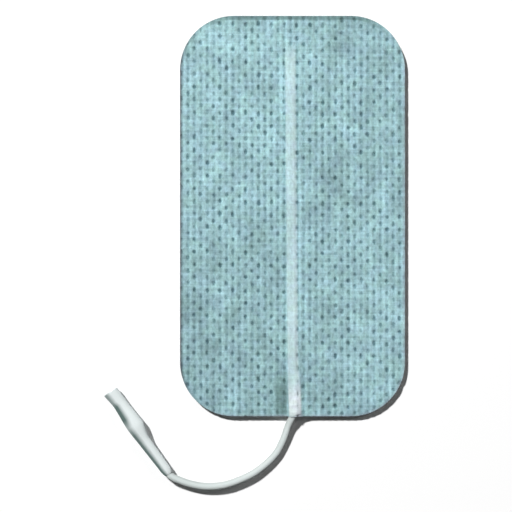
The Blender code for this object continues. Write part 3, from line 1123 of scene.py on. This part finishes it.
    def shape(self) -> tuple[np.ndarray, list, dict[str, np.ndarray]]:
        """Points, faces and painted values of the closed sheet.

        The upper face is a grid over the outline: each row is as wide as the outline is there. Its
        height is the crest's height, the ridge's rise and slight waves, less a cosine wave for the
        ribs or the pits, whichever is deeper, less a rounded drop at the cut rim, and less what
        the cut edge is pressed over the lead. The lower face follows the ridge alone, with few
        columns, and walls and end faces close the sheet.

        Returns:
            The points, the faces and, by name, one value for each point.
        """
        columns = self.columns()
        rows = self.rows()
        y, share = np.meshgrid(rows, columns / (self.width / 2), indexing="ij")
        x = share * self.half_width(y)
        calm = 1 - 0.95 * self.plateau(x, y)
        groove_wave = 0.5 + 0.5 * np.cos(2 * math.pi * (x - self.rib_shift) / self.rib_pitch)
        pits = self.pits(x, y) * calm
        rim = np.clip(1 - self.rim_distance(x, y) / self.rim_width, 0.0, 1.0)
        waves = np.sin(x * 520.0 + 2.0 * np.sin(y * 160.0)) * np.cos(y * 330.0 + x * 90.0)
        z = self.top + self.rise(x, y) + self.wave_height * waves * calm
        z -= np.maximum(self.rib_depth * groove_wave * calm, self.pit_depth * pits)
        z -= self.rim_press * rim**2
        near_edge = eased(1 - (y + self.length / 2) / self.exit_reach)
        z -= self.exit_press * self.ridge_share(x, y) * near_edge

        # The lower face has the sheet's two rims and a few columns under the ridge.
        reach = self.ridge_spread + self.slack_over_lead + self.line.diameter
        near = np.flatnonzero(np.abs(columns) < reach)
        low_columns = np.concatenate([[0], near, [len(columns) - 1]])
        low_x, low_y = x[:, low_columns], y[:, low_columns]
        low_z = self.bottom + self.rise(low_x, low_y)

        count = x.size
        upper = grid_quads(len(rows), len(columns))
        lower = grid_quads(len(rows), len(low_columns))[:, ::-1] + count
        top_number = np.arange(count).reshape(x.shape)
        low_number = np.arange(low_x.size).reshape(low_x.shape) + count
        walls = []
        for side in (0, -1):
            above, below = top_number[:, side], low_number[:, side]
            walls.append(np.stack([above[:-1], above[1:], below[1:], below[:-1]], axis=1))
        faces = np.vstack([upper, lower, *walls]).tolist()
        for end in (0, -1):
            faces.append([*top_number[end].tolist(), *low_number[end][::-1].tolist()])

        top_points = np.stack([x, y, z], axis=-1).reshape(-1, 3)
        low_points = np.stack([low_x, low_y, low_z], axis=-1).reshape(-1, 3)
        points = np.vstack([top_points, low_points])
        values = {
            name: np.concatenate([value.reshape(-1), np.zeros(low_x.size)])
            for name, value in self.painted(x, y, pits, rim).items()
        }
        return points, faces, values

    def painted(
        self, x: np.ndarray, y: np.ndarray, pits: np.ndarray, rim: np.ndarray
    ) -> dict[str, np.ndarray]:
        """Values from 0 to 1 that the cloth's finish reads.

        Towards the exit, the ridge's band narrows on the left and widens on the right. Over the
        insulated lead it is worn white. All along, its right slope is painted paler, a painted
        light.
        Beside it on the left the cloth is painted dark, a painted shade of a crease. The cloth is
        darker along its far edge. The cut edge is dark on the left, and pale on the right and
        where the lead comes out. The fibres are loose over the whole ridge.

        Args:
            x: Places across the pad.
            y: Places along the pad.
            pits: Depth share of the pits.
            rim: 1 on the cut rim and 0 away from it.

        Returns:
            The values by name.
        """
        over = self.over_something(y)
        side = x - self.line.ridge_x(y)
        stretched = self.stretched_share(y)
        lead_end = self.line.inner_y
        widening = towards_exit(y, lead_end + 0.007, 0.012)
        left_edge = self.band_left - 0.0002 * towards_exit(y, lead_end, 0.006)
        right_edge = self.band_right + 0.0006 * widening
        left_share = eased((side + left_edge) / 0.00025 + 0.5)
        band = left_share * eased((right_edge - side) / 0.00045 + 0.5) * stretched
        near_exit = towards_exit(y, lead_end + 0.001, 0.005)
        # Painted shade of a crease left of the ridge near the exit; the sheet's shape has no
        # crease there.
        crease_shade = eased((side + self.crease_outer) / 0.0016)
        crease_shade = crease_shade * eased((-self.crease_inner - side) / 0.0003) * widening
        facing_x, facing_y = self.facing(x, y)
        dark = 0.9 * np.clip(-facing_x, 0.0, 1.0) ** 4 + 0.2 * np.clip(facing_y, 0.0, 1.0) ** 6
        inwards = self.rim_distance(x, y)
        # A darker band along the far edge, in the crease shade's colour.
        far_edge = 0.6 * np.clip(facing_y, 0.0, 1.0) ** 6 * eased((0.0011 - inwards) / 0.0004)
        pale = 0.6 * np.clip(facing_x - facing_y, 0.0, 1.0)
        between = self.between_rows(x, y)
        # Painted shade: the grooves' dark paint is shifted just right of their middle, to one side
        # of each rib.
        painted_x = x - self.rib_shift - self.groove_shade_shift
        dark_wave = 0.5 + 0.5 * np.cos(2 * math.pi * painted_x / self.rib_pitch)
        brighter = towards_exit(y, -0.010, 0.012)
        # Painted light: the ridge's right slope, which faces away from the key lamp, is painted
        # paler.
        painted_light_slope = eased((side - 0.0001) / 0.0006)
        paler = 0.78 + 0.10 * painted_light_slope + 0.10 * brighter
        wear_and_painted_light = 0.12 * painted_light_slope + 0.10 * brighter + 0.75 * near_exit
        on_ridge = np.clip(12 * self.ridge_share(x, y), 0.0, 1.0) * np.clip(4 * over, 0.0, 1.0)
        return {
            "groove": dark_wave**1.7 * (1 - 0.3 * between),
            "between": between,
            "broad": 0.5 + self.broad_patches(x, y) / BROAD_SPAN,
            "pit": np.clip(pits, 0.0, 1.0),
            "pitted": np.clip(4 * pits, 0.0, 1.0),
            "ridge": paler * band * np.clip(1 - 1.2 * pits, 0.0, 1.0),
            "wear_and_painted_light": wear_and_painted_light * band * np.clip(1 - 0.5 * pits, 0.0, 1.0),
            "loose": 0.85 * on_ridge,
            "crease_shade": np.maximum(0.75 * crease_shade, far_edge),
            "pale": pale * rim,
            "cut": dark * eased(1.6 * rim - 0.1),
        }

    def build(self, material: bpy.types.Material) -> bpy.types.Object:
        """Args:
            material: The cloth's finish.

        Returns:
            The cloth.
        """
        points, faces, values = self.shape()
        mesh = shell_mesh("cover_cloth_sheet", points, faces, math.radians(60))
        for name, value in values.items():
            point_attribute(mesh, name, value)
        cloth = add_piece("cover_cloth_sheet", mesh, material)
        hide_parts("cover_cloth")
        return cloth


@dataclass
class GelLayer:
    """The hydrogel: a slab cut by the same die, whose soft edge bulges and rounds over."""

    width: float = 0.050
    length: float = 0.089
    corner_radius: float = 0.012
    thickness: float = 0.0009
    bulge: float = 0.0002
    edge_steps: int = 9
    corner_steps: int = 40

    def outline(self, inset: float) -> np.ndarray:
        """Points of the die's outline, moved inwards: four corner arcs, counter-clockwise.

        Args:
            inset: How far inwards.

        Returns:
            The two places of each point, one row each.
        """
        radius = self.corner_radius - inset
        angle = np.linspace(0.0, math.pi / 2, self.corner_steps)[None, :]
        angle = (angle + math.pi / 2 * np.arange(4)[:, None]).reshape(-1)
        quarter = np.repeat(np.arange(4), self.corner_steps)
        side_x = np.where((quarter == 0) | (quarter == 3), 1.0, -1.0)
        side_y = np.where(quarter < 2, 1.0, -1.0)
        x = side_x * (self.width / 2 - self.corner_radius) + radius * np.cos(angle)
        y = side_y * (self.length / 2 - self.corner_radius) + radius * np.sin(angle)
        return np.stack([x, y], axis=1)

    def build(self, material: bpy.types.Material) -> bpy.types.Object:
        """Build the gel: the outline carried up a half circle of insets, with flat faces.

        Args:
            material: The gel's finish.

        Returns:
            The gel layer.
        """
        turn = np.linspace(-math.pi / 2, math.pi / 2, self.edge_steps)
        heights = self.thickness / 2 * (1 + np.sin(turn))
        insets = self.bulge * (1 - np.cos(turn))
        rings = [
            np.column_stack([self.outline(inset), np.full(4 * self.corner_steps, height)])
            for inset, height in zip(insets, heights)
        ]
        count = len(rings[0])
        faces = grid_quads(len(rings), count, closed=True).tolist()
        faces.append(list(range(count))[::-1])
        faces.append(list(range((len(rings) - 1) * count, len(rings) * count)))
        mesh = shell_mesh("hydrogel_slab", np.vstack(rings), faces, math.radians(50))
        gel = add_piece("hydrogel_slab", mesh, material)
        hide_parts("hydrogel_layer")
        return gel


@dataclass
class LeadWire:
    """The insulated lead, as a smooth cord."""

    line: LeadLine
    spacing: float = 0.00035

    def build(
        self, material: bpy.types.Material, on_its_end: list[bpy.types.Object]
    ) -> bpy.types.Object:
        """Args:
            material: The insulation's finish.
            on_its_end: The pieces at its far end; not used.

        Returns:
            The lead.
        """
        line = self.line
        dense = smooth_curve(line.points(), line.out_of_mouth)
        centre = np.vstack([evenly_spaced(dense, self.spacing), line.tail()])
        curve = bpy.data.curves.new("insulated_lead", "CURVE")
        curve.dimensions = "3D"
        curve.bevel_depth = line.diameter / 2
        curve.bevel_resolution = 7
        curve.use_fill_caps = True
        spline = curve.splines.new("POLY")
        spline.points.add(len(centre) - 1)
        weighted = np.column_stack([centre, np.ones(len(centre))])
        spline.points.foreach_set("co", weighted.reshape(-1))
        spline.use_smooth = True
        lead = add_piece("insulated_lead", curve, material)
        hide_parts("lead_wire")
        return lead


@dataclass
class MouldedConnector:
    """The moulded connector: a sleeve round the socket, a waist, a grip, a shoulder and a tail.

    Its outer side faces away from the pad and its inner side towards it. A station is a distance
    from the mouth and a half-width there, or, for the painted shade, a distance from the mouth,
    the share of the darker colour and how far across it reaches.
    """

    line: LeadLine
    length: float = 0.0224
    sleeve_radius: float = 0.0017
    outer_stations: Stations = ((0.0033, 0.00137), (0.0091, 0.0018), (0.0140, 0.00155))
    inner_stations: Stations = ((0.0044, 0.00178), (0.0096, 0.0021), (0.0133, 0.00122))
    outer_ageing: Stations = (
        (0.0, 0.75, 0.0),
        (0.0025, 0.72, 0.05),
        (0.0036, 0.98, 0.25),
        (0.0070, 0.98, 0.20),
        (0.0090, 0.56, 0.0),
        (0.0110, 0.94, 0.0),
        (0.0224, 0.97, 0.05),
    )
    sharpness: float = 0.55
    tail_radius: float = 0.00115
    tail_rounding: float = 0.00027
    tail_taper: float = 0.0012
    seat_radius: float = 0.0012
    seat_depth: float = 0.0104
    seat_chamfer: float = 0.0001
    mouth_rounding: float = 0.00014
    flank_fade: float = 0.62
    shoulder_start: float = 0.0098
    shoulder_end: float = 0.0138
    shoulder_fade: float = 0.0015
    sides: int = 72
    rings: int = 150

    def half_widths(self, at: np.ndarray, stations: Stations) -> np.ndarray:
        """One side's half-width.

        Args:
            at: Distances from the tail.
            stations: That side's stations.

        Returns:
            The half-width at each distance.
        """
        whole = [(0.0, self.sleeve_radius), *stations, (self.length, self.tail_radius)]
        from_mouth = np.array(whole)[::-1]
        places = self.length - from_mouth[:, 0]
        return through_stations(at, places, from_mouth[:, 1], self.sharpness)

    def profile(self) -> tuple[np.ndarray, np.ndarray, np.ndarray]:
        """Place and both half-widths of every ring, from the tail out and then into the seat.

        The mouth is rounded by a quarter of a circle, and the tail thins down to the lead.

        Returns:
            Three arrays of the same length.
        """
        turn = np.linspace(0.0, math.pi / 2, 7)[1:]
        at = np.linspace(self.tail_taper, self.length - self.mouth_rounding, self.rings)
        along_taper = np.linspace(0.0, 1.0, 8)[:-1]
        tail_at = self.tail_taper * along_taper
        tail = self.tail_radius - self.tail_rounding * (1 - along_taper) ** 2
        mouth_at = self.length - self.mouth_rounding * (1 - np.sin(turn))
        mouth = self.sleeve_radius - self.mouth_rounding * (1 - np.cos(turn))
        seat_at = self.length - np.array([0.0, self.seat_chamfer, self.seat_depth])
        seat = self.seat_radius + np.array([self.seat_chamfer, 0.0, 0.0])
        sides = [
            np.concatenate([tail, self.half_widths(at, stations), mouth, seat])
            for stations in (self.outer_stations, self.inner_stations)
        ]
        return np.concatenate([tail_at, at, mouth_at, seat_at]), *sides

    def ageing(self, at: np.ndarray, across: np.ndarray) -> np.ndarray:
        """How much painted shade each point gets.

        The outer flank gets the most, least at the mouth and on the grip, and more and more
        towards its edge. On the inner side it is a trace at the edge, a little more on the
        shoulder.

        Args:
            at: Each ring's distance from the tail.
            across: Each side's place across, from -1 on the outer side to 1 on the inner one.

        Returns:
            A share for each ring and side.
        """
        from_mouth = (self.length - at)[:, None]
        places, strengths, reaches = np.array(self.outer_ageing).T
        reach = np.interp(from_mouth, places, reaches)
        flank = np.clip((reach - across) / self.flank_fade, 0.0, 1.0)
        outer = np.interp(from_mouth, places, strengths) * flank
        shoulder = eased((from_mouth - self.shoulder_start) / self.shoulder_fade)
        shoulder = shoulder * eased((self.shoulder_end - from_mouth) / self.shoulder_fade)
        inner = eased((across - 0.6) / 0.35) * (0.10 + 0.10 * shoulder)
        return np.clip(outer + inner, 0.0, 1.0)

    def build(self, material: bpy.types.Material) -> bpy.types.Object:
        """Build the connector: rings along its axis, each two half ellipses of one height.

        Args:
            material: The moulding's finish.

        Returns:
            The connector.
        """
        at, outer, inner = self.profile()
        angle = 2 * math.pi * np.arange(self.sides) / self.sides
        across, upward = np.cos(angle)[None, :], np.sin(angle)[None, :]
        reach = np.where(across > 0, inner[:, None], outer[:, None])
        height = (outer + inner)[:, None] / 2
        forward = self.line.out_of_mouth
        inwards = np.array([forward[1], -forward[0], 0.0])
        points = (
            self.line.tail()
            + at[:, None, None] * forward
            + (across * reach)[..., None] * inwards
            + (upward * height)[..., None] * np.array([0.0, 0.0, 1.0])
        )
        faces = grid_quads(len(at), self.sides, closed=True).tolist()
        faces.append(list(range(self.sides)))
        last = (len(at) - 1) * self.sides
        faces.append(list(range(last, last + self.sides)))
        mesh = shell_mesh("connector_moulding", points.reshape(-1, 3), faces, math.radians(50))
        # Painted shade on the outer flank and at the inner edge and shoulder.
        point_attribute(mesh, "painted_shade", self.ageing(at, across).reshape(-1))
        moulding = add_piece("connector_moulding", mesh, material)
        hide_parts("connector_body")
        return moulding


@dataclass
class CadPieces:
    """The CAD solids that are shown as they are, with a finish."""

    grain: bpy.types.NodeTree

    def dress(self) -> list[bpy.types.Object]:
        """Give the film, the strands and the socket their finishes.

        Returns:
            The dressed objects.
        """
        finishes = {
            "carbon_film": CARBON_FILM,
            "bare_conductor": TINNED_STRANDS,
            "socket_contact": PLATED_SOCKET,
        }
        dressed = []
        for node in bpy.context.scene.objects:
            finish = finishes.get(node.get("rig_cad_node", ""))
            if finish is None:
                continue
            node.data.materials.clear()
            node.data.materials.append(finish.material(self.grain))
            dressed.append(node)
        return dressed


@dataclass
class Studio:
    """Floor, world, two lamps and camera, as in the photograph: seen from straight above.

    The key lamp, the fill lamp and the ambient light share out the light on the floor.
    """

    frame_width: float = 0.11378
    centre_x: float = -0.00811
    centre_y: float = -0.00889
    face_height: float = 0.0016
    lens: float = 100.0
    sensor: float = 36.0
    key_tilt: float = math.radians(44.0)
    key_side: float = math.radians(128.5)
    lamp_distance: float = 3.0
    key_angle: float = math.radians(5.0)
    light: float = 1.05
    ambient: float = 0.034
    fill: float = 0.050
    fill_tilt: float = math.radians(46.0)
    fill_side: float = math.radians(38.0)
    fill_angle: float = math.radians(14.0)
    floor_size: float = 6.0
    floor_drop: float = 0.00001
    floor_shade: float = 0.98
    floor_glow: float = 0.01

    def build(self) -> None:
        """Build the whole studio."""
        self.floor()
        self.world()
        key = self.light - self.ambient - self.fill
        self.lamp("key", self.key_tilt, self.key_side, self.key_angle, key)
        self.lamp("fill", self.fill_tilt, self.fill_side, self.fill_angle, self.fill)
        self.camera()

    def seen_share(self, tree: bpy.types.NodeTree) -> bpy.types.NodeSocket:
        """1 for rays from the camera, or reflected or let through on their way from it.

        Args:
            tree: The nodes that it is added to.

        Returns:
            The output.
        """
        path = tree.nodes.new("ShaderNodeLightPath")
        seen = path.outputs["Is Camera Ray"]
        for name in ("Is Glossy Ray", "Is Transmission Ray"):
            either = tree.nodes.new("ShaderNodeMath")
            either.operation = "MAXIMUM"
            tree.links.new(seen, either.inputs[0])
            tree.links.new(path.outputs[name], either.inputs[1])
            seen = either.outputs[0]
        return seen

    def floor(self) -> None:
        """A plain white floor just under the pad, which keeps the shadows."""
        half = self.floor_size / 2
        low = -self.floor_drop
        corners = [(-half, -half, low), (half, -half, low), (half, half, low), (-half, half, low)]
        mesh = bpy.data.meshes.new("floor")
        mesh.from_pydata(corners, [], [(0, 1, 2, 3)])
        board = NodeBoard("white_floor")
        shader = board.shader
        shader.inputs["Base Color"].default_value = (self.floor_shade,) * 3 + (1.0,)
        shader.inputs["Roughness"].default_value = 0.9
        shader.inputs["Specular IOR Level"].default_value = 0.0
        shader.inputs["Emission Color"].default_value = (1.0, 1.0, 1.0, 1.0)
        glow = board.maths("MULTIPLY", self.seen_share(board.tree), self.floor_glow)
        board.join(glow, shader.inputs["Emission Strength"])
        floor = bpy.data.objects.new("floor", mesh)
        mesh.materials.append(board.material)
        bpy.context.scene.collection.objects.link(floor)

    def world(self) -> None:
        """A dim even world that looks white to the camera and in what it sees reflected."""
        world = bpy.data.worlds.new("studio")
        bpy.context.scene.world = world
        world.use_nodes = True
        tree = world.node_tree
        background = tree.nodes["Background"]
        background.inputs["Color"].default_value = (1.0, 1.0, 1.0, 1.0)
        strength = tree.nodes.new("ShaderNodeMapRange")
        strength.inputs["To Min"].default_value = self.ambient
        strength.inputs["To Max"].default_value = 1.0
        tree.links.new(self.seen_share(tree), strength.inputs["Value"])
        tree.links.new(strength.outputs["Result"], background.inputs["Strength"])

    def lamp(self, name: str, tilt: float, side: float, angle: float, light: float) -> None:
        """A round softbox aimed at the middle of the pad.

        Args:
            name: Name of the lamp.
            tilt: Its angle from straight above.
            side: The side that it stands on, as an angle from +X.
            angle: How wide it looks from the pad.
            light: Its share of the light on the floor.
        """
        lamp = bpy.data.lights.new(name, "AREA")
        lamp.shape = "DISK"
        lamp.size = 2 * self.lamp_distance * math.tan(angle / 2)
        lamp.energy = math.pi**2 * self.lamp_distance**2 * light / math.cos(tilt)
        box = bpy.data.objects.new(name, lamp)
        out = self.lamp_distance * math.sin(tilt)
        box.location = (
            out * math.cos(side),
            out * math.sin(side),
            self.lamp_distance * math.cos(tilt),
        )
        box.rotation_euler = (tilt, 0.0, side + math.pi / 2)
        bpy.context.scene.collection.objects.link(box)

    def camera(self) -> None:
        """The camera straight above the middle of the photograph's frame."""
        data = bpy.data.cameras.new("camera")
        data.lens = self.lens
        data.sensor_width = self.sensor
        camera = bpy.data.objects.new("camera", data)
        height = self.face_height + self.frame_width * self.lens / self.sensor
        camera.location = (self.centre_x, self.centre_y, height)
        bpy.context.scene.collection.objects.link(camera)
        bpy.context.scene.camera = camera


def main() -> None:
    """Build the pieces in order, then the studio, and report each."""
    logging.basicConfig(level=logging.INFO, format="%(name)s: %(message)s")
    bpy.context.scene.view_settings.view_transform = "Standard"
    grain = moulded_grain_group()
    line = LeadLine()

    low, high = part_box("carbon_film")
    log.info("film %.1f mm wide in the frame", (high.x - low.x) * 1000)

    cloth = CoverCloth(line).build(ClothFinish().material())
    log.info("%s: %d points", cloth.name, len(cloth.data.vertices))

    gel = GelLayer().build(CLEAR_HYDROGEL.material(grain))
    log.info("%s built", gel.name)

    dressed = CadPieces(grain).dress()
    log.info("dressed CAD solids: %s", ", ".join(piece.name for piece in dressed))

    connector = MouldedConnector(line).build(WHITE_MOULDING.material(grain))
    log.info("%s built", connector.name)

    socket = next(piece for piece in dressed if piece.get("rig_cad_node") == "socket_contact")
    lead = LeadWire(line).build(WHITE_INSULATION.material(grain), [connector, socket])
    log.info("%s built", lead.name)

    Studio().build()


if __name__ == "__main__":
    main()
